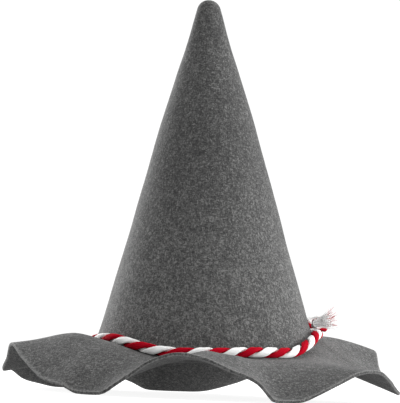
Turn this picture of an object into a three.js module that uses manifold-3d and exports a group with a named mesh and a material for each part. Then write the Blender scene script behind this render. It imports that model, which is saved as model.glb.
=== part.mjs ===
// A tall pointed hat of one piece of grey felt, with a wavy brim that stands on its folds, and a
// red and white twisted cord tied round the foot of the crown with a half knot and frayed ends.
// Millimetres, +Z up, the floor at z = 0, the front towards -Y. An azimuth is measured in degrees
// from the front towards +X. The origin is on the floor under the middle of the hat's outline.

import * as THREE from 'three';
import { mergeVertices } from 'three/addons/utils/BufferGeometryUtils.js';
import loadManifold from 'manifold-3d';

const { degToRad, lerp, euclideanModulo } = THREE.MathUtils;
const UP = new THREE.Vector3(0, 0, 1);

// Felt
const FELT_WALL = 2.8;
const CREASE_FILLET = 5;
const BRIM_BEND = 0.3;
const FLOOR_LEVEL = -0.8;
const FELT_SEGMENTS = 100;

// Crown: outer radius of the cone at some heights, and the round tip
const CROWN_SECTIONS = [
  { height: 25, radius: 106.8 },
  { height: 60, radius: 96.6 },
  { height: 87, radius: 88.5 },
  { height: 131, radius: 75.7 },
  { height: 190, radius: 59.4 },
  { height: 249, radius: 42.9 },
  { height: 294, radius: 29.2 },
  { height: 323, radius: 19.6 },
  { height: 355.2, radius: 10.6 },
];
const TIP = { height: 363.2, radius: 11, tangentAngle: 16 };
const CROWN_LEAN = { foot: 60, x: -10.6, y: -12 };

// Crease between crown and brim: a ring that dips at the front, with a rise or a dip at some places
const CREASE = { height: 43.9, saddle: 4, frontDip: 4.9, leftRise: 1.2 };
const CREASE_BUMPS = [
  { place: 'under the knot', azimuth: 104, halfWidth: 46, rise: 9.5 },
  { place: 'before the knot', azimuth: 46, halfWidth: 24, rise: -2.5 },
  { place: 'front left', azimuth: -23, halfWidth: 36, rise: -2.9 },
  { place: 'left, under the crest', azimuth: -80, halfWidth: 22, rise: -3 },
  { place: 'left', azimuth: -90, halfWidth: 71, rise: -7.5 },
];

// Brim: slope in degrees where it leaves the crease, and radius and height of its cut edge
const BRIM_FOLDS = [
  { fold: 'rear trough, left end', azimuth: -163, creaseSlope: -26, edgeRadius: 182, edgeHeight: -0.8 },
  { fold: 'rear left flank', azimuth: -157, creaseSlope: -22, edgeRadius: 184.5, edgeHeight: 8.5 },
  { fold: 'rear left crest', azimuth: -147, creaseSlope: -18, edgeRadius: 187, edgeHeight: 16 },
  { fold: 'rear left trough', azimuth: -134, creaseSlope: -22, edgeRadius: 183, edgeHeight: -1 },
  { fold: 'left flank', azimuth: -120, creaseSlope: -14, edgeRadius: 185, edgeHeight: 4.6 },
  { fold: 'left flank', azimuth: -111, creaseSlope: -12, edgeRadius: 186, edgeHeight: 9.4 },
  { fold: 'left shoulder', azimuth: -103, creaseSlope: -8, edgeRadius: 187, edgeHeight: 17.4 },
  { fold: 'left tip', azimuth: -94, creaseSlope: -30, edgeRadius: 187, edgeHeight: 17.2 },
  { fold: 'left flank', azimuth: -84, creaseSlope: -8, edgeRadius: 181, edgeHeight: 27.2 },
  { fold: 'left crest', azimuth: -71, creaseSlope: 21, edgeRadius: 182, edgeHeight: 40.4 },
  { fold: 'front left flank', azimuth: -60, creaseSlope: 28, edgeRadius: 183, edgeHeight: 28 },
  { fold: 'front left flank', azimuth: -48, creaseSlope: 35, edgeRadius: 184.5, edgeHeight: 10.8 },
  { fold: 'front left flank', azimuth: -40, creaseSlope: 27, edgeRadius: 185.5, edgeHeight: 6.4 },
  { fold: 'front left trough', azimuth: -31, creaseSlope: 9, edgeRadius: 186.5, edgeHeight: -3.2 },
  { fold: 'front flank', azimuth: -20.6, creaseSlope: -12, edgeRadius: 191, edgeHeight: 14.6 },
  { fold: 'front flank', azimuth: -13.4, creaseSlope: -17, edgeRadius: 193, edgeHeight: 30.8 },
  { fold: 'front crest', azimuth: -7, creaseSlope: -18, edgeRadius: 193, edgeHeight: 37.5 },
  { fold: 'front crest', azimuth: 0, creaseSlope: -14, edgeRadius: 193.5, edgeHeight: 34 },
  { fold: 'front flank', azimuth: 6.3, creaseSlope: -21, edgeRadius: 194, edgeHeight: 25.7 },
  { fold: 'front shoulder', azimuth: 13.5, creaseSlope: -16, edgeRadius: 194, edgeHeight: 15.6 },
  { fold: 'front right trough', azimuth: 19.5, creaseSlope: -10, edgeRadius: 189.5, edgeHeight: -3 },
  { fold: 'right flank', azimuth: 23.5, creaseSlope: -12, edgeRadius: 187.5, edgeHeight: -0.6 },
  { fold: 'right flank', azimuth: 30, creaseSlope: -10, edgeRadius: 188.5, edgeHeight: 8.2 },
  { fold: 'right flank', azimuth: 36, creaseSlope: -8, edgeRadius: 190.5, edgeHeight: 18 },
  { fold: 'right flank', azimuth: 42.2, creaseSlope: -6, edgeRadius: 192, edgeHeight: 27 },
  { fold: 'right crest', azimuth: 50.5, creaseSlope: -8, edgeRadius: 192, edgeHeight: 29.7 },
  { fold: 'right flank', azimuth: 59.2, creaseSlope: -16, edgeRadius: 187, edgeHeight: 22.5 },
  { fold: 'right flank', azimuth: 67, creaseSlope: -28, edgeRadius: 182.5, edgeHeight: 15.5 },
  { fold: 'right tip', azimuth: 80, creaseSlope: -42, edgeRadius: 179, edgeHeight: 10.8 },
  { fold: 'right tip', azimuth: 92, creaseSlope: -40, edgeRadius: 178, edgeHeight: 11 },
  { fold: 'right hollow', azimuth: 104, creaseSlope: -10, edgeRadius: 177, edgeHeight: 18 },
  { fold: 'rear right flank', azimuth: 111, creaseSlope: 8, edgeRadius: 177.5, edgeHeight: 32 },
  { fold: 'rear right crest', azimuth: 118, creaseSlope: 20, edgeRadius: 185, edgeHeight: 48 },
  { fold: 'rear right flank', azimuth: 131, creaseSlope: 8, edgeRadius: 188.5, edgeHeight: 40 },
  { fold: 'rear flank', azimuth: 158, creaseSlope: -8, edgeRadius: 190, edgeHeight: 24 },
  { fold: 'rear flank', azimuth: 166, creaseSlope: -12, edgeRadius: 188, edgeHeight: 18 },
  { fold: 'rear flank', azimuth: 171, creaseSlope: -16, edgeRadius: 186, edgeHeight: 11.4 },
  { fold: 'rear trough, right end', azimuth: 186, creaseSlope: -25, edgeRadius: 183, edgeHeight: -1.2 },
];

// Crests between the cord and the brim's edge
const BRIM_CRESTS = [
  { place: 'left', azimuth: -65.5, halfWidth: 23, rise: 5.6 },
  { place: 'front', azimuth: 4.4, halfWidth: 26.7, rise: 10.5 },
];

// Where the felt surface is cut into rows of faces: shares of each stretch, from tip to edge
const TIP_ROWS = [0, 0.4, 0.72];
const CROWN_ROWS = [0, 0.2, 0.55, 0.85];
const CREASE_ROWS = [0, 0.5];
const BRIM_ROWS = [0, 0.2, 0.42, 0.64, 0.84, 0.97, 1];

// Cord: two soft strands twisted round each other, loose at first and tight towards its front end
const STRANDS = [
  { name: 'cord_red', colour: 'red', turn: 10 },
  { name: 'cord_white', colour: 'white', turn: 190 },
];
const STRAND_OFFSET = 2.45;
const STRAND_HALF_DEPTH = 2.1;
const STRAND_HALF_WIDTH = 3.55;
const STRAND_FULLNESS = 0.2;
const STRAND_SIDES = 8;
const CORD_RADIUS = STRAND_OFFSET + STRAND_HALF_DEPTH;
const CORD_GAP = 0.7;
const CORD_LAY = { loose: 38, tight: 30.8, changeStart: 0.646, changeEnd: 0.706 };
const CORD_STEP = 4.7;
const RING = { start: 120, end: 405, step: 5 };

// Both ends of the cord at the half knot: the rear end crosses over the front end
const REAR_END = [
  { place: 'root of the lower tuft', azimuth: 84.0, radius: 101.4, height: 70.1 },
  { place: 'along the crown', azimuth: 86.2, radius: 100.0, height: 69.7 },
  { place: 'along the crown', azimuth: 88.8, radius: 99.6, height: 69.5 },
  { place: 'turns inwards', azimuth: 91.4, radius: 100.9, height: 69.5 },
  { place: 'turns inwards', azimuth: 94, radius: 104.4, height: 69.4 },
  { place: 'turns inwards', azimuth: 96.8, radius: 107.4, height: 68.8 },
  { place: 'over the front end', azimuth: 100.3, radius: 109.8, height: 67.5 },
  { place: 'over the front end', azimuth: 104, radius: 110.7, height: 66.2 },
  { place: 'over the front end', azimuth: 107.6, radius: 110.2, height: 65.0 },
  { place: 'turns outwards', azimuth: 110.8, radius: 108.6, height: 63.9 },
  { place: 'turns outwards', azimuth: 113.6, radius: 106.3, height: 63.0 },
  { place: 'leaves the crease', azimuth: 116.6, radius: 103.8, height: 62.1 },
];
const FRONT_END = [
  { place: 'leaves the crease', azimuth: 50, radius: 106.7, height: 44.2 },
  { place: 'up the crown', azimuth: 55.5, radius: 105.7, height: 47.6 },
  { place: 'up the crown', azimuth: 61, radius: 104.7, height: 50.8 },
  { place: 'up the crown', azimuth: 66.5, radius: 103.7, height: 54.0 },
  { place: 'up the crown', azimuth: 71.5, radius: 102.8, height: 56.9 },
  { place: 'up the crown', azimuth: 76, radius: 102.2, height: 58.9 },
  { place: 'along the crown', azimuth: 81, radius: 102.0, height: 59.8 },
  { place: 'along the crown', azimuth: 86, radius: 102.1, height: 59.9 },
  { place: 'along the crown', azimuth: 91, radius: 102.2, height: 60.0 },
  { place: 'along the crown', azimuth: 96, radius: 102.0, height: 60.4 },
  { place: 'under the rear end', azimuth: 100.5, radius: 101.5, height: 61.5 },
  { place: 'under the rear end', azimuth: 104.5, radius: 101.0, height: 63.4 },
  { place: 'under the rear end', azimuth: 107.8, radius: 100.5, height: 66.0 },
  { place: 'turns outwards', azimuth: 110, radius: 100.8, height: 69.0 },
  { place: 'turns outwards', azimuth: 111.3, radius: 102.6, height: 71.8 },
  { place: 'root of the upper tuft', azimuth: 111.8, radius: 105.2, height: 73.6 },
];

// Frayed ends: a round head, and locks that fan out of it and bend off the cord's direction
const TUFT = { headRadius: 4, headTaper: 0.8, headLength: 3, headSides: 10, gap: 0.6 };
const LOCKS = { count: 9, sides: 5, root: 1.15, tip: 0.45, inset: 0.7, lengthSpread: 1.6, spread: 28 };
const TUFT_LOWER = { name: 'tuft_lower', colour: 'white', lockLength: 13, bend: new THREE.Vector3(0.95, 0.65, 0.2) };
const TUFT_UPPER = { name: 'tuft_upper', colour: 'red', lockLength: 9, bend: new THREE.Vector3(0.8, -0.3, -0.7) };
const GOLDEN_TURN = 137.5;

const feltMaterial = new THREE.MeshStandardMaterial({ color: 0x6a6a69, roughness: 0.95, metalness: 0 });
const yarnMaterials = {
  red: new THREE.MeshStandardMaterial({ color: 0xbe0a22, roughness: 0.75, metalness: 0 }),
  white: new THREE.MeshStandardMaterial({ color: 0xf0f0ee, roughness: 0.75, metalness: 0 }),
};

// Crown radius at a height, smooth through the sections
const crownSpline = new THREE.CubicInterpolant(
  CROWN_SECTIONS.map((section) => section.height),
  CROWN_SECTIONS.map((section) => section.radius),
  1,
);

function crownRadius(height) {
  return crownSpline.evaluate(height)[0];
}

// A smooth rise over a stretch of azimuths
function bumpHeight(azimuth, bump) {
  const away = Math.abs(euclideanModulo(azimuth - bump.azimuth + 180, 360) - 180);
  if (away >= bump.halfWidth) return 0;
  return (bump.rise * (1 + Math.cos((Math.PI * away) / bump.halfWidth))) / 2;
}

// The point where the lines of crown and brim would meet
function creaseCorner(azimuth) {
  const angle = degToRad(azimuth);
  const ring =
    CREASE.height -
    CREASE.saddle * Math.cos(2 * angle) -
    CREASE.frontDip * Math.cos(angle) -
    CREASE.leftRise * Math.sin(angle);
  const height = CREASE_BUMPS.reduce((sum, bump) => sum + bumpHeight(azimuth, bump), ring);
  return new THREE.Vector2(crownRadius(height), height);
}

// Slope and cut edge of the brim, smooth through the folds; two rows repeat past each end of the circle
const foldRows = [
  ...BRIM_FOLDS.slice(-2).map((row) => ({ ...row, azimuth: row.azimuth - 360 })),
  ...BRIM_FOLDS,
  ...BRIM_FOLDS.slice(0, 2).map((row) => ({ ...row, azimuth: row.azimuth + 360 })),
];
const foldSpline = new THREE.CubicInterpolant(
  foldRows.map((row) => row.azimuth),
  foldRows.flatMap((row) => [row.creaseSlope, row.edgeRadius, row.edgeHeight]),
  3,
);

function brimFold(azimuth) {
  const first = BRIM_FOLDS[0].azimuth;
  const [slope, radius, height] = foldSpline.evaluate(first + euclideanModulo(azimuth - first, 360));
  const creaseSlope = degToRad(slope);
  const direction = new THREE.Vector2(Math.cos(creaseSlope), Math.sin(creaseSlope));
  return { creaseSlope, direction, edge: new THREE.Vector2(radius, height) };
}

// Slope of the crown wall at the crease, as a direction that runs down and outwards
function crownWallDirection(height) {
  return new THREE.Vector2(crownRadius(height - 1) - crownRadius(height), -1).normalize();
}

// The small curve from the crown wall into the brim
function creaseCurve(azimuth) {
  const corner = creaseCorner(azimuth);
  const { direction } = brimFold(azimuth);
  const wall = crownWallDirection(corner.y);
  return new THREE.QuadraticBezierCurve(
    corner.clone().addScaledVector(wall, -CREASE_FILLET),
    corner,
    corner.clone().addScaledVector(direction, CREASE_FILLET),
  );
}

// Share of a crest's rise along the brim: level at the crease and at the edge, highest at 0.4
function crestShape(share) {
  return 28.9 * share ** 2 * (1 - share) ** 3;
}

// Radius and height on the outer face: stretch 0 is the tip, 1 the crown, 2 the crease, 3 the brim
function outerProfile(azimuth, stretch, share) {
  if (stretch === 0) {
    const angle = degToRad(lerp(90, TIP.tangentAngle, share));
    const centre = TIP.height - TIP.radius;
    return new THREE.Vector2(TIP.radius * Math.cos(angle), centre + TIP.radius * Math.sin(angle));
  }
  const crease = creaseCurve(azimuth);
  if (stretch === 1) {
    const height = lerp(CROWN_SECTIONS.at(-1).height, crease.v0.y, share);
    return new THREE.Vector2(crownRadius(height), height);
  }
  if (stretch === 2) {
    return crease.getPoint(share);
  }
  const { direction, edge } = brimFold(azimuth);
  const handle = crease.v2.clone().addScaledVector(direction, BRIM_BEND * edge.distanceTo(crease.v2));
  const point = new THREE.QuadraticBezierCurve(crease.v2, handle, edge).getPoint(share);
  const crest = BRIM_CRESTS.reduce((sum, row) => sum + bumpHeight(azimuth, row), 0);
  point.y += crest * crestShape(share);
  return point;
}

function outerPoint(azimuth, stretch, share) {
  const { x: radius, y: height } = outerProfile(azimuth, stretch, share);
  const angle = degToRad(azimuth);
  const lean = Math.max(0, height - CROWN_LEAN.foot) / (TIP.height - CROWN_LEAN.foot);
  return new THREE.Vector3(
    radius * Math.sin(angle) + CROWN_LEAN.x * lean,
    -radius * Math.cos(angle) + CROWN_LEAN.y * lean,
    height,
  );
}

// Outward direction of the outer face, from its two tangents
function outerNormal(azimuth, stretch, share) {
  if (stretch === 0 && share === 0) return UP.clone();
  const turn = 0.5;
  const step = 0.02;
  const round = outerPoint(azimuth + turn, stretch, share).sub(outerPoint(azimuth - turn, stretch, share));
  const low = Math.min(share + step, 1);
  const high = Math.max(share - step, 0);
  const upwards = outerPoint(azimuth, stretch, high).sub(outerPoint(azimuth, stretch, low));
  return round.cross(upwards).normalize();
}

// Felt: a closed lathe whose points are moved to the inner and outer face, flat where it rests
function makeFeltBody() {
  const rows = [TIP_ROWS, CROWN_ROWS, CREASE_ROWS, BRIM_ROWS].flatMap((shares, stretch) =>
    shares.map((share) => ({ stretch, share })),
  );
  const stations = [
    ...rows.map((row) => ({ ...row, depth: FELT_WALL })),
    ...rows.toReversed().map((row) => ({ ...row, depth: 0 })),
  ];
  const isTip = (station) => station.stretch === 0 && station.share === 0;
  const profile = stations.map((station, index) => new THREE.Vector2(isTip(station) ? 0 : 1, index));
  const lathe = new THREE.LatheGeometry(profile, FELT_SEGMENTS);
  const position = lathe.getAttribute('position');
  for (let index = 0; index < position.count; index += 1) {
    const segment = Math.floor(index / stations.length) % FELT_SEGMENTS;
    const { stretch, share, depth } = stations[index % stations.length];
    const azimuth = (360 * segment) / FELT_SEGMENTS;
    const point = outerPoint(azimuth, stretch, share);
    point.addScaledVector(outerNormal(azimuth, stretch, share), -depth);
    point.z = Math.max(point.z, FLOOR_LEVEL + FELT_WALL - depth);
    position.setXYZ(index, point.x, point.y, point.z);
  }
  lathe.computeVertexNormals();
  const mesh = new THREE.Mesh(lathe, feltMaterial);
  mesh.name = 'felt_body';
  return mesh;
}

// A point round the crown's axis
function aroundAxis({ azimuth, radius, height }) {
  const angle = degToRad(azimuth);
  return new THREE.Vector3(radius * Math.sin(angle), -radius * Math.cos(angle), height);
}

// Middle of the cord where it lies in the corner of crown and brim
function ringPoint(azimuth) {
  const seat = creaseCorner(azimuth);
  const wallAngle = crownWallDirection(seat.y).negate().angle();
  const { creaseSlope } = brimFold(azimuth);
  const middle = (wallAngle + creaseSlope) / 2;
  const reach = (CORD_RADIUS + CORD_GAP) / Math.sin((wallAngle - creaseSlope) / 2);
  seat.add(new THREE.Vector2(Math.cos(middle), Math.sin(middle)).multiplyScalar(reach));
  return aroundAxis({ azimuth, radius: seat.x, height: seat.y });
}

// The cord's middle line: rear end, once round the back, left and front of the crown, front end
function makeCordLine() {
  const ring = [];
  for (let azimuth = RING.start; azimuth < RING.end + RING.step / 2; azimuth += RING.step) {
    ring.push(ringPoint(azimuth));
  }
  const line = new THREE.CatmullRomCurve3([
    ...REAR_END.map(aroundAxis),
    ...ring,
    ...FRONT_END.map(aroundAxis),
  ]);
  line.arcLengthDivisions = 10 * line.points.length;
  return line;
}

// Turns of the strands round each other up to a length of the cord
function cordTwist(length, whole) {
  const { loose, tight, changeStart, changeEnd } = CORD_LAY;
  const start = changeStart * whole;
  const end = changeEnd * whole;
  const share = THREE.MathUtils.clamp((length - start) / (end - start), 0, 1);
  const tightLength = ((end - start) * share ** 2) / 2 + Math.max(length - end, 0);
  return length / loose + tightLength * (1 / tight - 1 / loose);
}

// One strand's middle: it winds round the cord's middle line
class StrandCurve extends THREE.Curve {
  constructor(line, turn) {
    super();
    this.line = line;
    this.turn = turn;
  }

  // Steps are even along the cord's middle line
  getUtoTmapping(u) {
    return u;
  }

  // Direction of the cord, and away from its middle towards the strand
  directionsAt(share) {
    const tangent = this.line.getTangentAt(share);
    const side = new THREE.Vector3().crossVectors(tangent, UP).normalize();
    const over = new THREE.Vector3().crossVectors(side, tangent);
    const whole = this.line.getLength();
    const angle = degToRad(this.turn) + 2 * Math.PI * cordTwist(share * whole, whole);
    const outwards = side.multiplyScalar(Math.cos(angle)).addScaledVector(over, Math.sin(angle));
    return { tangent, outwards };
  }

  getPoint(t, target = new THREE.Vector3()) {
    const share = THREE.MathUtils.clamp(t, 0, 1);
    const { outwards } = this.directionsAt(share);
    return target.copy(this.line.getPointAt(share)).addScaledVector(outwards, STRAND_OFFSET);
  }

  // Each section is square to the cord, with its depth pointing away from the cord's middle
  computeFrenetFrames(segments) {
    const directions = Array.from({ length: segments + 1 }, (_, step) => this.directionsAt(step / segments));
    return {
      tangents: directions.map(({ tangent }) => tangent),
      normals: directions.map(({ outwards }) => outwards),
      binormals: directions.map(({ tangent, outwards }) => tangent.clone().cross(outwards)),
    };
  }
}

// A strand's section, with its depth along x: an oval that is fuller on its inner side
function strandSection() {
  const corners = Array.from({ length: STRAND_SIDES }, (_, side) => {
    const angle = (2 * Math.PI * side) / STRAND_SIDES;
    const halfWidth = STRAND_HALF_WIDTH * (1 - STRAND_FULLNESS * Math.cos(angle));
    return new THREE.Vector2(STRAND_HALF_DEPTH * Math.cos(angle), halfWidth * Math.sin(angle));
  });
  return new THREE.Shape(corners);
}

function makeStrand(line, { name, colour, turn }) {
  const geometry = new THREE.ExtrudeGeometry(strandSection(), {
    steps: Math.round(line.getLength() / CORD_STEP),
    extrudePath: new StrandCurve(line, turn),
    bevelEnabled: false,
  });
  const mesh = new THREE.Mesh(geometry, yarnMaterials[colour]);
  mesh.name = name;
  return mesh;
}

const manifold = await loadManifold();
manifold.setup();

function toSolid(geometry) {
  const bare = geometry.clone();
  bare.deleteAttribute('normal');
  bare.deleteAttribute('uv');
  const merged = mergeVertices(bare, 1e-4);
  return new manifold.Manifold(
    new manifold.Mesh({
      numProp: 3,
      vertProperties: new Float32Array(merged.getAttribute('position').array),
      triVerts: new Uint32Array(merged.getIndex().array),
    }),
  );
}

function toGeometry(solid) {
  const { vertProperties, triVerts } = solid.getMesh();
  const geometry = new THREE.BufferGeometry();
  geometry.setAttribute('position', new THREE.BufferAttribute(vertProperties, 3));
  geometry.setIndex(new THREE.BufferAttribute(triVerts, 1));
  geometry.computeVertexNormals();
  return geometry;
}

// A frayed end, along +Y from its root: a round head, and locks that fan out of it
function makeTuftShape(lockLength) {
  const { headRadius, headTaper, headLength, headSides } = TUFT;
  const head = new THREE.CylinderGeometry(headRadius * headTaper, headRadius, headLength, headSides);
  head.translate(0, headLength / 2, 0);
  let solid = toSolid(head);
  for (let lock = 0; lock < LOCKS.count; lock += 1) {
    const share = Math.sqrt(lock / (LOCKS.count - 1));
    const length = lockLength + LOCKS.lengthSpread * Math.cos(2 * lock);
    const strip = new THREE.CylinderGeometry(LOCKS.tip, LOCKS.root, length, LOCKS.sides);
    strip.translate(0, length / 2, 0);
    strip.rotateZ(-degToRad(LOCKS.spread * share));
    strip.translate((headRadius - LOCKS.root) * LOCKS.inset * share, headLength / 2, 0);
    strip.rotateY(degToRad(GOLDEN_TURN * lock));
    solid = solid.add(toSolid(strip));
  }
  return toGeometry(solid);
}

// The tuft at one end of the cord, clear of the end although it is tilted
function makeTuft(root, before, { name, colour, lockLength, bend }) {
  const cordDirection = new THREE.Vector3().subVectors(root, before).normalize();
  const direction = cordDirection.clone().add(bend).normalize();
  const gap = TUFT.gap + TUFT.headRadius * Math.sin(cordDirection.angleTo(direction));
  const mesh = new THREE.Mesh(makeTuftShape(lockLength), yarnMaterials[colour]);
  mesh.name = name;
  mesh.quaternion.setFromUnitVectors(new THREE.Vector3(0, 1, 0), direction);
  mesh.position.copy(root).addScaledVector(cordDirection, gap);
  return mesh;
}

const cordLine = makeCordLine();
const hat = new THREE.Group();
hat.add(makeFeltBody());
STRANDS.forEach((strand) => hat.add(makeStrand(cordLine, strand)));
hat.add(makeTuft(cordLine.points.at(0), cordLine.points.at(1), TUFT_LOWER));
hat.add(makeTuft(cordLine.points.at(-1), cordLine.points.at(-2), TUFT_UPPER));

// The origin goes under the middle of the whole outline
const middle = new THREE.Box3().setFromObject(hat).getCenter(new THREE.Vector3());
hat.position.set(-middle.x, -middle.y, -FLOOR_LEVEL);

export default hat;
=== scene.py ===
"""A tall pointed hat of grey melange felt, with a wavy brim and a twisted red and white cord.

Metres in Blender, with the hat's own sizes given in millimetres. The floor is at z = 0, the front of
the hat looks towards -Y, and an azimuth runs in degrees from the front towards +X.
"""
import math

import bpy
import numpy as np
from mathutils import Matrix, Vector, noise


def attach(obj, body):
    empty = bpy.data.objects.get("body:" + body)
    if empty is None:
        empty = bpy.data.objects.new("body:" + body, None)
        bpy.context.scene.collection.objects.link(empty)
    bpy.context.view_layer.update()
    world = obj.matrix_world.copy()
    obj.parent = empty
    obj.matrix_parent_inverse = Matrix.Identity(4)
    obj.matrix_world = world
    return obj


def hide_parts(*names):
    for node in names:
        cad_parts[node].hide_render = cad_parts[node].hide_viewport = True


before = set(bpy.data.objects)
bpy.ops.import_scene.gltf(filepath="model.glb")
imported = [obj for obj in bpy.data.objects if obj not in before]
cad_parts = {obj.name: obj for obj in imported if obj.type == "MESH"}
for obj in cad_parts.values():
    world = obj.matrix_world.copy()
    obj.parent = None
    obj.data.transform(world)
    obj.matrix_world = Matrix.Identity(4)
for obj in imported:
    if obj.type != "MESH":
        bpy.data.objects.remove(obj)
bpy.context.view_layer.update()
bpy.ops.object.select_all(action="DESELECT")

MM = 0.001
UP = np.array((0.0, 0.0, 1.0))

# Place of the crown's foot in the frame, in mm: the floor presses the brim's lowest folds flat
FLOOR_LEVEL = -0.8
HAT_AXIS = np.array((4.178, 4.774, -FLOOR_LEVEL))

# Felt, in mm and degrees
FELT_WALL = 2.8
CREASE_FILLET = 5.0
BRIM_BEND = 0.3
CROWN_HEIGHTS = (25, 60, 87, 131, 190, 249, 294, 323, 355.2)
CROWN_RADII = (106.8, 96.6, 88.5, 75.7, 59.4, 42.9, 29.2, 19.6, 10.6)
TIP_HEIGHT = 363.2
TIP_RADIUS = 11.0
TIP_TANGENT = 16.0
LEAN_FOOT = 60.0
LEAN = np.array((-10.6, -12.0, 0.0))
CREASE_HEIGHT = 43.9
CREASE_SADDLE = 4.0
CREASE_FRONT_DIP = 4.9
CREASE_LEFT_RISE = 1.2
CREASE_BUMPS = ((104, 46, 9.5), (46, 24, -2.5), (-23, 36, -2.9), (-80, 22, -3), (-90, 71, -7.5))

# Brim folds: azimuth, slope where the brim leaves the crease, radius and height of its cut edge
BRIM_FOLDS = np.array((
    (-163, -26, 182, -0.8),      # rear trough, left end
    (-157, -22, 184.5, 8.5),     # rear left flank
    (-147, -18, 187, 16),        # rear left crest
    (-134, -22, 183, -1),        # rear left trough
    (-120, -14, 185, 4.6),       # left flank
    (-111, -12, 186, 9.4),       # left flank
    (-103, -8, 187, 17.4),       # left shoulder
    (-94, -30, 187, 17.2),       # left tip
    (-84, -8, 181, 27.2),        # left flank
    (-71, 21, 182, 40.4),        # left crest
    (-60, 28, 183, 28),          # front left flank
    (-48, 35, 184.5, 10.8),      # front left flank
    (-40, 27, 185.5, 6.4),       # front left flank
    (-31, 9, 186.5, -3.2),       # front left trough
    (-20.6, -12, 191, 14.6),     # front flank
    (-13.4, -17, 193, 30.8),     # front flank
    (-7, -18, 193, 37.5),        # front crest
    (0, -14, 193.5, 34),         # front crest
    (6.3, -21, 194, 25.7),       # front flank
    (13.5, -16, 194, 15.6),      # front shoulder
    (19.5, -10, 189.5, -3),      # front right trough
    (23.5, -12, 187.5, -0.6),    # right flank
    (30, -10, 188.5, 8.2),       # right flank
    (36, -8, 190.5, 18),         # right flank
    (42.2, -6, 192, 27),         # right flank
    (50.5, -8, 192, 29.7),       # right crest
    (59.2, -16, 187, 22.5),      # right flank
    (67, -28, 182.5, 15.5),      # right flank
    (80, -42, 179, 10.8),        # right tip
    (92, -40, 178, 11),          # right tip
    (104, -10, 177, 18),         # right hollow
    (111, 8, 177.5, 32),         # rear right flank
    (118, 20, 185, 48),          # rear right crest
    (131, 8, 188.5, 40),         # rear right flank
    (158, -8, 190, 24),          # rear flank
    (166, -12, 188, 18),         # rear flank
    (171, -16, 186, 11.4),       # rear flank
    (186, -25, 183, -1.2),       # rear trough, right end
))

# Crests between the cord and the brim's edge, left and front: azimuth, half width and rise
BRIM_CRESTS = ((-65.5, 23, 5.6), (4.4, 26.7, 10.5))
CREST_SCALE = 28.9

# Felt mesh: faces round the hat, and rows in each stretch from tip to cut edge
FELT_SEGMENTS = 288
TIP_ROWS = 9
CROWN_ROWS = 46
CREASE_ROWS = 5
BRIM_ROWS = 28
BRIM_EDGE_SHARES = (0.985, 1)
EDGE_ROUNDING = 0.7
EDGE_ROWS = 4
# How pale the felt is beside the corners of the cut edge and on the flat of the cut
PALE_BESIDE_EDGE = 0.3
PALE_INSIDE_EDGE = 0.1
FLOOR_SOFTNESS = 2.0
DENT_SIZE = 42.0
DENT_DEPTH = 0.55
RIPPLE_SIZE = 10.0
RIPPLE_DEPTH = 0.13

# Cord, in mm and degrees: a red and a white strand twisted round each other
LOOSE_LAY = 38.0
TIGHT_LAY = 30.8
TIGHTENS = (0.646, 0.706)
CORD_PHASE = 10.0
CORD_RADIUS = 4.55
CORD_GAP = 0.7
CORD_STEP = 1.9
RING_STEP = 2.5
RING_START = 120.0
RING_END = 405.0

# Both ends of the cord at the half knot: azimuth, radius and height of its middle.
# The rear end crosses over the front end, which passes under it and comes out above.
REAR_END = np.array((
    (84.0, 101.4, 70.1),     # root of the lower tuft
    (86.2, 100.0, 69.7),     # along the crown
    (88.8, 99.6, 69.5),      # along the crown
    (91.4, 100.9, 69.5),     # turns inwards
    (94, 104.4, 69.4),       # turns inwards
    (96.8, 107.4, 68.8),     # turns inwards
    (100.3, 109.8, 67.5),    # over the front end
    (104, 110.7, 66.2),      # over the front end
    (107.6, 110.2, 65.0),    # over the front end
    (110.8, 108.6, 63.9),    # turns outwards
    (113.6, 106.3, 63.0),    # turns outwards
    (116.6, 103.8, 62.1),    # leaves the crease
))
FRONT_END = np.array((
    (50, 106.7, 44.2),       # leaves the crease
    (55.5, 105.7, 47.6),     # up the crown
    (61, 104.7, 50.8),       # up the crown
    (66.5, 103.7, 54.0),     # up the crown
    (71.5, 102.8, 56.9),     # up the crown
    (76, 102.2, 58.9),       # up the crown
    (81, 102.0, 59.8),       # along the crown
    (86, 102.1, 59.9),       # along the crown
    (91, 102.2, 60.0),       # along the crown
    (96, 102.0, 60.4),       # along the crown
    (100.5, 101.5, 61.5),    # under the rear end
    (104.5, 101.0, 63.4),    # under the rear end
    (107.8, 100.5, 66.0),    # under the rear end
    (110, 100.8, 69.0),      # turns outwards
    (111.3, 102.6, 71.8),    # turns outwards
    (111.8, 105.2, 73.6),    # root of the upper tuft
))

# Yarns of one strand, in mm: their middles lie on an oval round the strand's middle
STRAND_OFFSET = 2.4
STRAND_HALF_DEPTH = 1.7
STRAND_HALF_WIDTH = 3.15
STRAND_FULLNESS = 0.2
YARNS = 20
YARN_RADIUS = 0.43
YARN_SIDES = 6
YARN_LAY = 45.0
YARN_SIZES = (0.94, 1.06)
YARN_WANDER = 0.03
YARN_WAVES = (9, 16)

# Frayed ends: which end of the cord, length of its fibres in mm, and what bends them off the cord's way
TUFTS = (
    ("tuft_lower", "yarn_white", 0, 15.5, (0.95, 0.65, 0.2)),
    ("tuft_upper", "yarn_red", -1, 10.5, (0.8, -0.3, -0.7)),
)
FIBRE_RADIUS = 0.5
FIBRE_THINNING = 0.8
FIBRE_SIDES = 6
FIBRE_POINTS = 8
FIBRE_OVERLAP = 1.5
FIBRE_FAN = 0.55
FIBRE_OPENING = (0.5, 1.15)
FIBRE_LENGTHS = (0.55, 1.04)
FIBRE_STRAY = 0.2
FIBRE_CURL = 0.07
FIBRE_ROOT_STRAY = 0.18
FIBRE_ROOT_DEPTH = 0.9

# Red and white fibres: how many for each yarn, where they lean, how soon they turn, and their length
FIBRES = (3, 7)
FIBRE_LEANS = ((0, 0.25, 0.35), (0, -0.2, 0))
FIBRE_TURNS = (10, 8)
FIBRE_SHARES = (0.95, 1.15)
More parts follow.
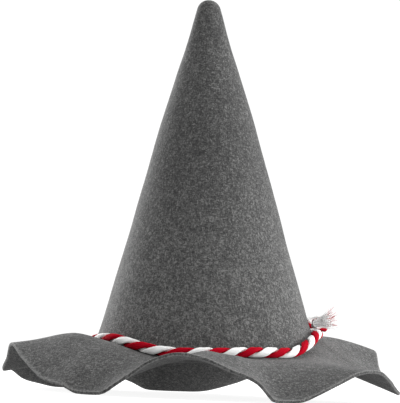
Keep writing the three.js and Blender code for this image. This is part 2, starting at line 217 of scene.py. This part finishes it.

# Felt colours, and painted light and shade over the height of the hat as shares of FELT_TOP in metres:
# lighter at the crown's foot, darker on the brim and towards the tip
FELT_DARK = (0.042, 0.042, 0.0425, 1)
FELT_MIDDLE = (0.095, 0.095, 0.0938, 1)
FELT_LIGHT = (0.205, 0.205, 0.202, 1)
FELT_TOP = 0.36
PAINTED_HEIGHT_SHADES = ((0.13, 0.3), (0.185, 0.9), (0.25, 0.92), (0.37, 0.67), (0.61, 0.06))
PAINTED_SHADE_ENDS = (0.3, 0.1)
PAINTED_SHADE_RANGE = (-0.14, 0.02)

# Turn and stretch of the three layers of felt fibres
FELT_LAYERS = (
    ((0.5, 0.3, 0.9), (1, 1, 0.28)),
    ((0.2, 1.1, 2.2), (1, 0.3, 1)),
    ((1.3, 0.4, 0.1), (0.3, 1, 1)),
)

# Yarn colours, darkest and lightest, and their sheen
RED_YARN = ((0.3, 0.0003, 0.007, 1), (0.5, 0.0008, 0.016, 1), (1, 0.2, 0.25, 1))
WHITE_YARN = ((0.88, 0.88, 0.875, 1), (0.98, 0.98, 0.975, 1), (1, 1, 1, 1))

# Softboxes: name, place and size in metres, and power in watts; all aim at the crown
LIT_POINT = (0, 0, 0.16)
SOFTBOXES = (
    ("overhead softbox", (0.1, 0.2, 2.2), (1.8, 1.8), 23.6),
    ("right softbox", (1.6, -0.1, 0.35), (0.9, 0.6), 23.6),
    ("right front softbox", (1.3, -1.3, 1.0), (1.0, 1.0), 4.2),
    ("right rear softbox", (1.2, 1.3, 0.45), (1.0, 0.8), 4.8),
    ("left rear softbox", (-1.2, 1.3, 0.45), (1.0, 0.8), 45),
)

# Floor and world: radius and depth in metres, grey of the floor, and glow for light and for the camera
FLOOR_RADIUS = 14
FLOOR_DEPTH = 0.0002
FLOOR_GREY = (0.35, 0.35, 0.35, 1)
FLOOR_GLOWS = (0.28, 0.9)
WORLD_GLOWS = (0.64, 1.05)
WHITE = (1, 1, 1, 1)

# Camera, in mm, degrees and pixels of the photograph's frame
CAMERA_PLACE = np.array((0.0, -1700.0, 32.0))
CAMERA_AIM = np.array((-11.0, 0.0, 177.46))
CAMERA_ROLL = 2.5
CAMERA_FOCUS_PX = 1851.0
FRAME_HEIGHT_PX = 403.0
SENSOR = 36.0


def in_frame(points):
    """Points in mm round the crown's foot, as metres in the frame."""
    return (np.asarray(points) + HAT_AXIS) * MM


def unit(vectors):
    return vectors / np.linalg.norm(vectors, axis=-1, keepdims=True)


def smooth_through(knots, values, at):
    """A cubic through rows of values, whose slope at a knot is the mean of its two neighbours'."""
    knots = np.asarray(knots, float)
    values = np.asarray(values, float).reshape(len(knots), -1)
    secants = np.diff(values, axis=0) / np.diff(knots)[:, None]
    slopes = np.vstack((secants[:1], (secants[1:] + secants[:-1]) / 2, secants[-1:]))
    row = np.clip(np.searchsorted(knots, at, side="right") - 1, 0, len(knots) - 2)
    span = (knots[row + 1] - knots[row])[..., None]
    t = (np.asarray(at) - knots[row])[..., None] / span
    start = values[row] * (1 + 2 * t) * (1 - t) ** 2 + slopes[row] * span * t * (1 - t) ** 2
    end = values[row + 1] * t ** 2 * (3 - 2 * t) + slopes[row + 1] * span * t ** 2 * (t - 1)
    return start + end


def crown_radius(height):
    return smooth_through(CROWN_HEIGHTS, CROWN_RADII, np.asarray(height, float))[..., 0]


def brim_fold(azimuth):
    """Slope in radians where the brim leaves the crease, and radius and height of its cut edge."""
    turn = np.array((360, 0, 0, 0))
    folds = np.vstack((BRIM_FOLDS[-2:] - turn, BRIM_FOLDS, BRIM_FOLDS[:2] + turn))
    first = BRIM_FOLDS[0, 0]
    fold = smooth_through(folds[:, 0], folds[:, 1:], first + np.mod(azimuth - first, 360))
    return np.radians(fold[..., 0]), fold[..., 1:]


def bump(azimuth, middle, half_width, rise):
    """A smooth rise over a stretch of azimuths."""
    away = np.abs(np.mod(azimuth - middle + 180, 360) - 180)
    return np.where(away < half_width, rise * (1 + np.cos(np.pi * away / half_width)) / 2, 0)


def crease_corner(azimuth):
    """Radius and height where the lines of crown and brim would meet."""
    angle = np.radians(azimuth)
    height = (CREASE_HEIGHT - CREASE_SADDLE * np.cos(2 * angle) - CREASE_FRONT_DIP * np.cos(angle)
              - CREASE_LEFT_RISE * np.sin(angle))
    height = height + sum(bump(azimuth, *row) for row in CREASE_BUMPS)
    return np.stack((crown_radius(height), height), -1)


def wall_direction(height):
    """Down the crown's wall, as radius and height."""
    out = crown_radius(height - 1) - crown_radius(height)
    return unit(np.stack((out, -np.ones_like(out)), -1))


def slope_direction(slope):
    return np.stack((np.cos(slope), np.sin(slope)), -1)


def crest_shape(share):
    """Share of a crest's rise along the brim: level at the crease and at the edge, highest at 0.4."""
    return CREST_SCALE * share ** 2 * (1 - share) ** 3


def felt_profile(azimuth):
    """Radius and height of the felt's outer face, rows from the tip to the cut edge."""
    crease_slope, cut_edge = brim_fold(azimuth)
    corner = crease_corner(azimuth)
    crease_top = corner - CREASE_FILLET * wall_direction(corner[..., 1])
    crease_foot = corner + CREASE_FILLET * slope_direction(crease_slope)
    rows = []
    for share in np.linspace(0, 1, TIP_ROWS, endpoint=False):
        angle = math.radians(90 + (TIP_TANGENT - 90) * share)
        point = (TIP_RADIUS * math.cos(angle), TIP_HEIGHT - TIP_RADIUS * (1 - math.sin(angle)))
        rows.append(np.broadcast_to(point, corner.shape))
    for share in np.linspace(0, 1, CROWN_ROWS, endpoint=False):
        height = CROWN_HEIGHTS[-1] + (crease_top[..., 1] - CROWN_HEIGHTS[-1]) * share
        rows.append(np.stack((crown_radius(height), height), -1))
    for share in np.linspace(0, 1, CREASE_ROWS, endpoint=False):
        upper = crease_top + (corner - crease_top) * share
        lower = corner + (crease_foot - corner) * share
        rows.append(upper + (lower - upper) * share)
    reach = np.linalg.norm(cut_edge - crease_foot, axis=-1, keepdims=True)
    handle = crease_foot + BRIM_BEND * reach * slope_direction(crease_slope)
    for share in (*np.linspace(0, 0.97, BRIM_ROWS), *BRIM_EDGE_SHARES):
        near = crease_foot + (handle - crease_foot) * share
        far = handle + (cut_edge - handle) * share
        crest = sum(bump(azimuth, *row) for row in BRIM_CRESTS) * crest_shape(share)
        rows.append(near + (far - near) * share + np.stack((np.zeros_like(crest), crest), -1))
    return np.array(rows)


def soft_floor(height, floor):
    """Height that eases onto a floor instead of passing below it."""
    above = height - floor
    return floor + (above + np.sqrt(above ** 2 + FLOOR_SOFTNESS ** 2)) / 2


def felt_dents(point):
    """How far the hand-shaped felt stands out of its even form, in mm."""
    dent = noise.noise(Vector(point) / DENT_SIZE)
    ripple = noise.noise(Vector(point) / RIPPLE_SIZE)
    return DENT_DEPTH * dent + RIPPLE_DEPTH * ripple


def felt_points():
    """Points of the felt's outer face, rows by columns, in mm round the crown's foot."""
    azimuth = np.linspace(0, 360, FELT_SEGMENTS + 1)
    profile = felt_profile(azimuth)
    radius, height = profile[..., 0], profile[..., 1]
    angle = np.radians(azimuth)
    outwards = np.stack((np.sin(angle), -np.cos(angle), np.zeros_like(angle)), -1)
    lean = np.maximum(height - LEAN_FOOT, 0) / (TIP_HEIGHT - LEAN_FOOT)
    points = radius[..., None] * outwards + height[..., None] * UP + lean[..., None] * LEAN
    stands_out = np.array([[felt_dents(point) for point in row] for row in points])
    stands_out *= np.clip(radius / TIP_RADIUS - 0.2, 0, 1)
    points = points + surface_normals(points) * stands_out[..., None]
    points[:, -1] = points[:, 0]
    points[..., 2] = soft_floor(points[..., 2], FLOOR_LEVEL + FELT_WALL)
    return points


def surface_normals(points):
    """Outward directions of rolled rows of points, whose last column repeats the first."""
    round_way = np.gradient(points[:, :-1], axis=1)
    round_way[:, 0] = points[:, 1] - points[:, -2]
    round_way[:, -1] = round_way[:, 0]
    up_way = -np.gradient(points[:, :-1], axis=0)
    normal = np.cross(round_way, up_way)
    normal[0] = UP
    normal = unit(normal)
    return np.concatenate((normal, normal[:, :1]), axis=1)


def felt_wall(outer):
    """Rows of the whole wall: outer face from the tip, rounded cut edge, inner face back to the tip.

    The second array tells how near each row is to a corner of the cut edge.
    """
    normal = surface_normals(outer)
    inner = outer - FELT_WALL * normal
    up, out = normal[-1], unit(outer[-1] - outer[-2])
    corners = []
    for turn in np.linspace(0, np.pi / 2, EDGE_ROWS):
        bend = EDGE_ROUNDING * (np.cos(turn) - 1) * up + EDGE_ROUNDING * (np.sin(turn) - 1) * out
        corners.append(outer[-1] + bend)
    for turn in np.linspace(0, np.pi / 2, EDGE_ROWS):
        bend = EDGE_ROUNDING * (1 - np.sin(turn)) * up + EDGE_ROUNDING * (np.cos(turn) - 1) * out
        corners.append(inner[-1] + bend)
    wall = np.concatenate((outer[:-1], corners, inner[-2::-1]))
    wall[..., 2] = np.maximum(wall[..., 2], FLOOR_LEVEL)
    # Paler felt over the rounded corners of the cut edge, less beside them and least on the flat of the cut
    edge_paleness = np.zeros(len(wall))
    first = len(outer) - 1
    edge_paleness[first:first + 2 * EDGE_ROWS] = 1
    edge_paleness[[first - 1, first + 2 * EDGE_ROWS]] = PALE_BESIDE_EDGE
    edge_paleness[[first + EDGE_ROWS - 1, first + EDGE_ROWS]] = PALE_INSIDE_EDGE
    return wall, edge_paleness


def finish_piece(piece, node, slot, *materials):
    """Material, body and replaced CAD node of a finished piece; its record slot is not used."""
    for material in materials:
        piece.data.materials.append(material)
    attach(piece, "root")
    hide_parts(node)


def make_felt_body(material):
    """Crown and brim: a grid rolled into the felt's wall, closed at the seam and at both tips."""
    points, edge_paleness = felt_wall(felt_points())
    rows, columns = points.shape[:2]
    bpy.ops.mesh.primitive_grid_add(x_subdivisions=columns - 1, y_subdivisions=rows - 1, size=1)
    felt = bpy.context.object
    felt.name = "felt_hat"
    felt.data.vertices.foreach_set("co", in_frame(points).astype(np.float32).ravel())
    paleness_layer = felt.data.attributes.new("edge_paleness", "FLOAT", "POINT")
    paleness_layer.data.foreach_set("value", np.repeat(edge_paleness, columns).astype(np.float32))
    bpy.ops.object.mode_set(mode="EDIT")
    bpy.ops.mesh.select_all(action="SELECT")
    bpy.ops.mesh.remove_doubles(threshold=1e-6)
    bpy.ops.mesh.normals_make_consistent(inside=False)
    bpy.ops.object.mode_set(mode="OBJECT")
    bpy.ops.object.shade_smooth()
    finish_piece(felt, "felt_body", "felt", material)


def around(azimuth, radius, height):
    """Points from azimuth, radius and height round the crown's axis."""
    angle = np.radians(azimuth)
    return np.stack((radius * np.sin(angle), -radius * np.cos(angle), height), -1)


def ring_points(azimuth):
    """Middle of the cord where it lies in the corner of crown and brim."""
    corner = crease_corner(azimuth)
    wall = -wall_direction(corner[..., 1])
    wall_angle = np.arctan2(wall[..., 1], wall[..., 0])
    crease_slope = brim_fold(azimuth)[0]
    reach = (CORD_RADIUS + CORD_GAP) / np.sin((wall_angle - crease_slope) / 2)
    seat = corner + reach[..., None] * slope_direction((wall_angle + crease_slope) / 2)
    return around(azimuth, seat[..., 0], seat[..., 1])


def cord_route():
    """The cord's middle: rear end, once round the back, left and front of the crown, front end."""
    ring = ring_points(np.arange(RING_START, RING_END + RING_STEP / 2, RING_STEP))
    return np.concatenate((around(*REAR_END.T), ring, around(*FRONT_END.T)))


def cord_line():
    """Evenly spaced points of the cord's middle, with its length, tangent and two cross directions."""
    route = cord_route()
    knots = np.concatenate(((0,), np.cumsum(np.linalg.norm(np.diff(route, axis=0), axis=1))))
    count = int(knots[-1] / CORD_STEP) + 1
    length = np.linspace(0, knots[-1], count)
    line = smooth_through(knots, route, length)
    tangent = unit(np.gradient(line, axis=0))
    side = unit(np.cross(tangent, UP))
    return length, line, tangent, side, np.cross(side, tangent)


def make_tubes(name, tubes, sides):
    """Closed round tubes in one mesh, with their length and shade as UVs and attribute.

    A tube is its path, a direction across it, its radius, its shade and its material's place.
    """
    places, faces, uvs, shade_values, finishes = [], [], [], [], []
    first = 0
    turn = 2 * np.pi * np.arange(sides) / sides
    for path, reference, radius, shade, finish in tubes:
        along = unit(np.gradient(path, axis=0))
        across = unit(np.cross(along, reference))
        other = np.cross(along, across)
        ring = np.cos(turn)[None, :, None] * across[:, None] + np.sin(turn)[None, :, None] * other[:, None]
        reach = np.broadcast_to(radius, len(path))[:, None, None]
        places.append((path[:, None] + reach * ring).reshape(-1, 3))
        steps = np.concatenate(((0,), np.cumsum(np.linalg.norm(np.diff(path, axis=0), axis=1)))) * MM
        for row in range(len(path) - 1):
            low, high = first + row * sides, first + (row + 1) * sides
            for corner in range(sides):
                after = (corner + 1) % sides
                faces.append((low + corner, low + after, high + after, high + corner))
                u, v = corner / sides, (corner + 1) / sides
                uvs += [(u, steps[row]), (v, steps[row]), (v, steps[row + 1]), (u, steps[row + 1])]
        last = first + (len(path) - 1) * sides
        faces.append(tuple(range(first + sides - 1, first - 1, -1)))
        faces.append(tuple(range(last, last + sides)))
        uvs += [(0.5, 0.0)] * sides + [(0.5, steps[-1])] * sides
        shade_values.append(np.full(len(path) * sides, shade))
        finishes += [finish] * ((len(path) - 1) * sides + 2)
        first += len(path) * sides
    mesh = bpy.data.meshes.new(name)
    mesh.from_pydata(in_frame(np.concatenate(places)).tolist(), [], faces)
    mesh.uv_layers.new(name="yarn").data.foreach_set("uv", np.array(uvs, np.float32).ravel())
    shade_layer = mesh.attributes.new("shade", "FLOAT", "POINT")
    shade_layer.data.foreach_set("value", np.concatenate(shade_values).astype(np.float32))
    mesh.polygons.foreach_set("use_smooth", np.ones(len(mesh.polygons), bool))
    mesh.polygons.foreach_set("material_index", np.array(finishes, np.int32))
    mesh.update()
    piece = bpy.data.objects.new(name, mesh)
    bpy.context.scene.collection.objects.link(piece)
    return piece


def strand_oval(angle):
    """A strand's section, as depth from the strand's middle and breadth: fuller on its inner side."""
    breadth = STRAND_HALF_WIDTH * np.sin(angle) * (1 - STRAND_FULLNESS * np.cos(angle))
    return STRAND_HALF_DEPTH * np.cos(angle), breadth


def oval_angle(share):
    """Angle on a strand's oval at a share of its way round, so that yarns lie evenly."""
    angle = np.linspace(0, 2 * np.pi, 181)
    depth, breadth = strand_oval(angle)
    walked = np.concatenate(((0,), np.cumsum(np.hypot(np.diff(depth), np.diff(breadth)))))
    return np.interp(np.mod(share, 1), walked / walked[-1], angle)


def cord_twist(length):
    """Turns of the strands round each other up to a length: loose at first, tight towards the knot."""
    start, end = (share * length[-1] for share in TIGHTENS)
    share = np.clip((length - start) / (end - start), 0, 1)
    tight_length = (end - start) * share ** 2 / 2 + np.maximum(length - end, 0)
    return length / LOOSE_LAY + tight_length * (1 / TIGHT_LAY - 1 / LOOSE_LAY)


def strand_yarns(line, turn, draw):
    """Paths of a strand's yarns, and the direction from the strand's middle to each."""
    length, middle, _, side, over = line
    angle = math.radians(turn + CORD_PHASE) + 2 * np.pi * cord_twist(length)
    outwards = np.cos(angle)[:, None] * side + np.sin(angle)[:, None] * over
    round_way = -np.sin(angle)[:, None] * side + np.cos(angle)[:, None] * over
    paths, references = [], []
    for yarn in range(YARNS):
        spin = oval_angle(yarn / YARNS - length / YARN_LAY)
        depth, breadth = strand_oval(spin)
        wander = 1 + YARN_WANDER * np.sin(length / draw.uniform(*YARN_WAVES) + draw.uniform(0, 6))
        reach = STRAND_OFFSET + wander * depth
        paths.append(middle + reach[:, None] * outwards + (wander * breadth)[:, None] * round_way)
        references.append(np.cos(spin)[:, None] * outwards + np.sin(spin)[:, None] * round_way)
    return paths, references


def make_strand(node, slot, yarns, material, draw):
    tubes = [(path, reference, YARN_RADIUS * draw.uniform(*YARN_SIZES), draw.uniform(0, 1), 0)
             for path, reference in zip(*yarns)]
    strand = make_tubes(node + "_yarns", tubes, YARN_SIDES)
    finish_piece(strand, node, slot, material)


def make_tuft(node, slot, roots, way, bend, length, materials, draw):
    """A frayed end: each yarn opens into fibres that fan out and bend off the cord's way."""
    way = unit(way)
    aim = unit(way + np.array(bend))
    middle = np.mean([place for place, _ in roots], axis=0)
    cores = [np.mean([place for place, finish in roots if finish == strand], axis=0) for strand in (0, 1)]
    share = np.linspace(0, 1, FIBRE_POINTS)[:, None]
    taper = FIBRE_RADIUS * (1 - FIBRE_THINNING * share[:, 0] ** 0.8)
    tubes = []
    for place, finish in roots:
        off = (place - middle) / CORD_RADIUS
        for _ in range(FIBRES[finish]):
            stray = draw.normal(0, FIBRE_STRAY, 3)
            fan = off * draw.uniform(*FIBRE_OPENING) + stray + FIBRE_LEANS[finish]
            fan = FIBRE_FAN * (fan - aim * (fan @ aim))
            curl = draw.normal(0, FIBRE_CURL, 3)
            reach = length * draw.uniform(*FIBRE_LENGTHS) * FIBRE_SHARES[finish]
            inwards = (cores[finish] - place) * draw.uniform(0, FIBRE_ROOT_DEPTH)
            root = place + inwards + draw.normal(0, FIBRE_ROOT_STRAY, 3) - way * FIBRE_OVERLAP
            bent = way + (aim - way) * np.minimum(FIBRE_TURNS[finish] * share, 1)
            path = root + reach * (share * bent + share ** 1.5 * fan + share ** 3 * curl)
            tubes.append((path, np.cross(aim, fan + 0.01 * UP), taper, draw.uniform(0, 1), finish))
    tuft = make_tubes(node + "_fibres", tubes, FIBRE_SIDES)
    finish_piece(tuft, node, slot, *materials)


def node_maker(tree):
    """A short way to add a node: its type, its settings and what its sockets take."""
    def add(kind, inputs=None, **settings):
        made = tree.nodes.new(kind)
        for key, value in settings.items():
            setattr(made, key, value)
        for key, value in (inputs or {}).items():
            if isinstance(value, bpy.types.NodeSocket):
                tree.links.new(value, made.inputs[key])
            else:
                made.inputs[key].default_value = value
        return made
    return add


def new_material(name):
    material = bpy.data.materials.new(name)
    material.use_nodes = True
    material.node_tree.nodes.clear()
    return material, node_maker(material.node_tree)


def painted_height_shade(add, where):
    """Painted light and shade by height: how much lighter the felt is at the crown's foot and darker on the
    brim and towards the tip.
    """
    height = add("ShaderNodeSeparateXYZ", {"Vector": where}).outputs["Z"]
    level = add("ShaderNodeMapRange", {"Value": height, "From Min": 0.0, "From Max": FELT_TOP})
    height_shades = add("ShaderNodeValToRGB", {"Fac": level.outputs["Result"]})
    for element, tone in zip(height_shades.color_ramp.elements, PAINTED_SHADE_ENDS):
        element.color = (tone, tone, tone, 1)
    for place, tone in PAINTED_HEIGHT_SHADES:
        height_shades.color_ramp.elements.new(place).color = (tone, tone, tone, 1)
    low, high = PAINTED_SHADE_RANGE
    shift = add("ShaderNodeMapRange", {"Value": height_shades.outputs["Color"], "To Min": low, "To Max": high})
    return shift.outputs["Result"]


def make_felt_material():
    material, add = new_material("grey melange felt")
    where = add("ShaderNodeTexCoord").outputs["Object"]
    grain = add("ShaderNodeTexNoise", {"Vector": where, "Scale": 620.0, "Detail": 3.0, "Roughness": 0.62,
                                       "Distortion": 0.5})
    streaks = []
    for turn, stretch in FELT_LAYERS:
        laid = add("ShaderNodeMapping", {"Vector": where, "Rotation": turn, "Scale": stretch})
        streak = add("ShaderNodeTexNoise", {"Vector": laid.outputs["Vector"], "Scale": 900.0, "Detail": 1.5,
                                            "Roughness": 0.55, "Distortion": 0.9})
        streaks.append(streak.outputs["Fac"])
    pair = add("ShaderNodeMath", {0: streaks[0], 1: streaks[1]}, operation="ADD")
    fibres = add("ShaderNodeMath", {0: pair.outputs[0], 1: streaks[2]}, operation="ADD")
    mottle = add("ShaderNodeTexNoise", {"Vector": where, "Scale": 330.0, "Detail": 2.0, "Roughness": 0.6,
                                        "Distortion": 0.4})
    blotches = add("ShaderNodeTexNoise", {"Vector": where, "Scale": 70.0, "Detail": 3.0, "Roughness": 0.6})
    mixed = add("ShaderNodeMath", {0: grain.outputs["Fac"], 1: fibres.outputs[0]}, operation="ADD")
    mottled = add("ShaderNodeMath", {0: mottle.outputs["Fac"], 1: 0.9, 2: mixed.outputs[0]},
                  operation="MULTIPLY_ADD")
    shaded = add("ShaderNodeMath", {0: blotches.outputs["Fac"], 1: 0.35, 2: mottled.outputs[0]},
                 operation="MULTIPLY_ADD")
    # Paler felt at the rounded corners of the cut edge
    edge_paleness = add("ShaderNodeAttribute", attribute_name="edge_paleness")
    paled = add("ShaderNodeMath", {0: edge_paleness.outputs["Fac"], 1: 0.42, 2: shaded.outputs[0]},
                operation="MULTIPLY_ADD")
    # Painted light and shade: the felt is lighter at the crown's foot and darker on the brim and towards
    # the tip
    tone = painted_height_shade(add, where)
    height_shaded = add("ShaderNodeMath", {0: paled.outputs[0], 1: tone}, operation="ADD")
    spread = add("ShaderNodeMapRange", {"Value": height_shaded.outputs[0], "From Min": 2.24, "From Max": 3.02})
    ramp = add("ShaderNodeValToRGB", {"Fac": spread.outputs["Result"]})
    ramp.color_ramp.elements[0].color = FELT_DARK
    ramp.color_ramp.elements[1].color = FELT_LIGHT
    ramp.color_ramp.elements.new(0.5).color = FELT_MIDDLE
    nap = add("ShaderNodeBump", {"Height": mottled.outputs[0], "Strength": 0.5, "Distance": 0.0005})
    felt = add("ShaderNodeBsdfPrincipled", {
        "Base Color": ramp.outputs["Color"], "Normal": nap.outputs["Normal"], "Roughness": 0.95,
        "Specular IOR Level": 0.12, "Sheen Weight": 0.15, "Sheen Roughness": 0.5,
        "Sheen Tint": (0.9, 0.9, 0.9, 1)})
    add("ShaderNodeOutputMaterial", {"Surface": felt.outputs["BSDF"]})
    return material


def make_yarn_material(name, dark, light, sheen_tint):
    material, add = new_material(name)
    uv = add("ShaderNodeUVMap", uv_map="yarn").outputs["UV"]
    laid = add("ShaderNodeMapping", {"Vector": uv, "Scale": (9.0, 900.0, 1.0)})
    hairs = add("ShaderNodeTexNoise", {"Vector": laid.outputs["Vector"], "Scale": 1.0, "Detail": 2.0})
    shade = add("ShaderNodeAttribute", attribute_name="shade")
    tone = add("ShaderNodeMath", {0: shade.outputs["Fac"], 1: hairs.outputs["Fac"]}, operation="ADD")
    spread = add("ShaderNodeMapRange", {"Value": tone.outputs[0], "From Min": 0.2, "From Max": 1.5})
    ramp = add("ShaderNodeValToRGB", {"Fac": spread.outputs["Result"]})
    ramp.color_ramp.elements[0].color = dark
    ramp.color_ramp.elements[1].color = light
    relief = add("ShaderNodeBump", {"Height": hairs.outputs["Fac"], "Strength": 0.4, "Distance": 0.0002})
    yarn = add("ShaderNodeBsdfPrincipled", {
        "Base Color": ramp.outputs["Color"], "Normal": relief.outputs["Normal"], "Roughness": 0.75,
        "Specular IOR Level": 0.05, "Sheen Weight": 0.06, "Sheen Roughness": 0.4, "Sheen Tint": sheen_tint})
    add("ShaderNodeOutputMaterial", {"Surface": yarn.outputs["BSDF"]})
    return material


def make_stage():
    """A pale floor that runs out of sight, under a white world."""
    bpy.ops.mesh.primitive_circle_add(vertices=96, radius=FLOOR_RADIUS, fill_type="NGON",
                                      location=(0, 0, -FLOOR_DEPTH))
    floor = bpy.context.object
    floor.name = "floor"
    material, add = new_material("pale floor")
    seen = add("ShaderNodeLightPath").outputs["Is Camera Ray"]
    paper = add("ShaderNodeBsdfDiffuse", {"Color": FLOOR_GREY})
    glow = add("ShaderNodeMapRange", {"Value": seen, "To Min": FLOOR_GLOWS[0], "To Max": FLOOR_GLOWS[1]})
    light = add("ShaderNodeEmission", {"Color": WHITE, "Strength": glow.outputs["Result"]})
    both = add("ShaderNodeAddShader", {0: paper.outputs[0], 1: light.outputs[0]})
    add("ShaderNodeOutputMaterial", {"Surface": both.outputs[0]})
    floor.data.materials.append(material)
    world = bpy.data.worlds.new("studio")
    bpy.context.scene.world = world
    world.use_nodes = True
    world.node_tree.nodes.clear()
    add = node_maker(world.node_tree)
    soft = add("ShaderNodeBackground", {"Color": WHITE, "Strength": WORLD_GLOWS[0]})
    white = add("ShaderNodeBackground", {"Color": WHITE, "Strength": WORLD_GLOWS[1]})
    seen = add("ShaderNodeLightPath").outputs["Is Camera Ray"]
    chosen = add("ShaderNodeMixShader", {0: seen, 1: soft.outputs[0], 2: white.outputs[0]})
    add("ShaderNodeOutputWorld", {"Surface": chosen.outputs[0]})


def add_softbox(name, place, size, power):
    bpy.ops.object.light_add(type="AREA", location=place)
    light = bpy.context.object
    light.name = name
    light.data.shape = "RECTANGLE"
    light.data.size, light.data.size_y = size
    light.data.energy = power
    light.visible_camera = False
    light.rotation_euler = (Vector(LIT_POINT) - Vector(place)).to_track_quat("-Z", "Y").to_euler()


def make_camera():
    place, aim = Vector(in_frame(CAMERA_PLACE)), Vector(in_frame(CAMERA_AIM))
    bpy.ops.object.camera_add(location=place)
    camera = bpy.context.object
    look = (aim - place).to_track_quat("-Z", "Y").to_matrix()
    camera.matrix_world = Matrix.Translation(place) @ (look @ Matrix.Rotation(
        math.radians(CAMERA_ROLL), 3, "Z")).to_4x4()
    camera.data.sensor_width = SENSOR
    camera.data.lens = CAMERA_FOCUS_PX / FRAME_HEIGHT_PX * SENSOR
    camera.data.clip_end = 100
    bpy.context.scene.camera = camera


def main():
    bpy.context.scene.view_settings.view_transform = "Standard"
    make_camera()
    make_stage()
    for softbox in SOFTBOXES:
        add_softbox(*softbox)
    felt_material = make_felt_material()
    red = make_yarn_material("red yarn", *RED_YARN)
    white = make_yarn_material("white yarn", *WHITE_YARN)
    make_felt_body(felt_material)
    draw = np.random.default_rng(7)
    line = cord_line()
    red_yarns, white_yarns = strand_yarns(line, 0, draw), strand_yarns(line, 180, draw)
    make_strand("cord_red", "yarn_red", red_yarns, red, draw)
    make_strand("cord_white", "yarn_white", white_yarns, white, draw)
    for node, slot, end, length, bend in TUFTS:
        roots = [(path[end], 0) for path in red_yarns[0]] + [(path[end], 1) for path in white_yarns[0]]
        way = line[2][end] * (1 if end else -1)
        make_tuft(node, slot, roots, way, bend, length, (red, white), draw)


main()
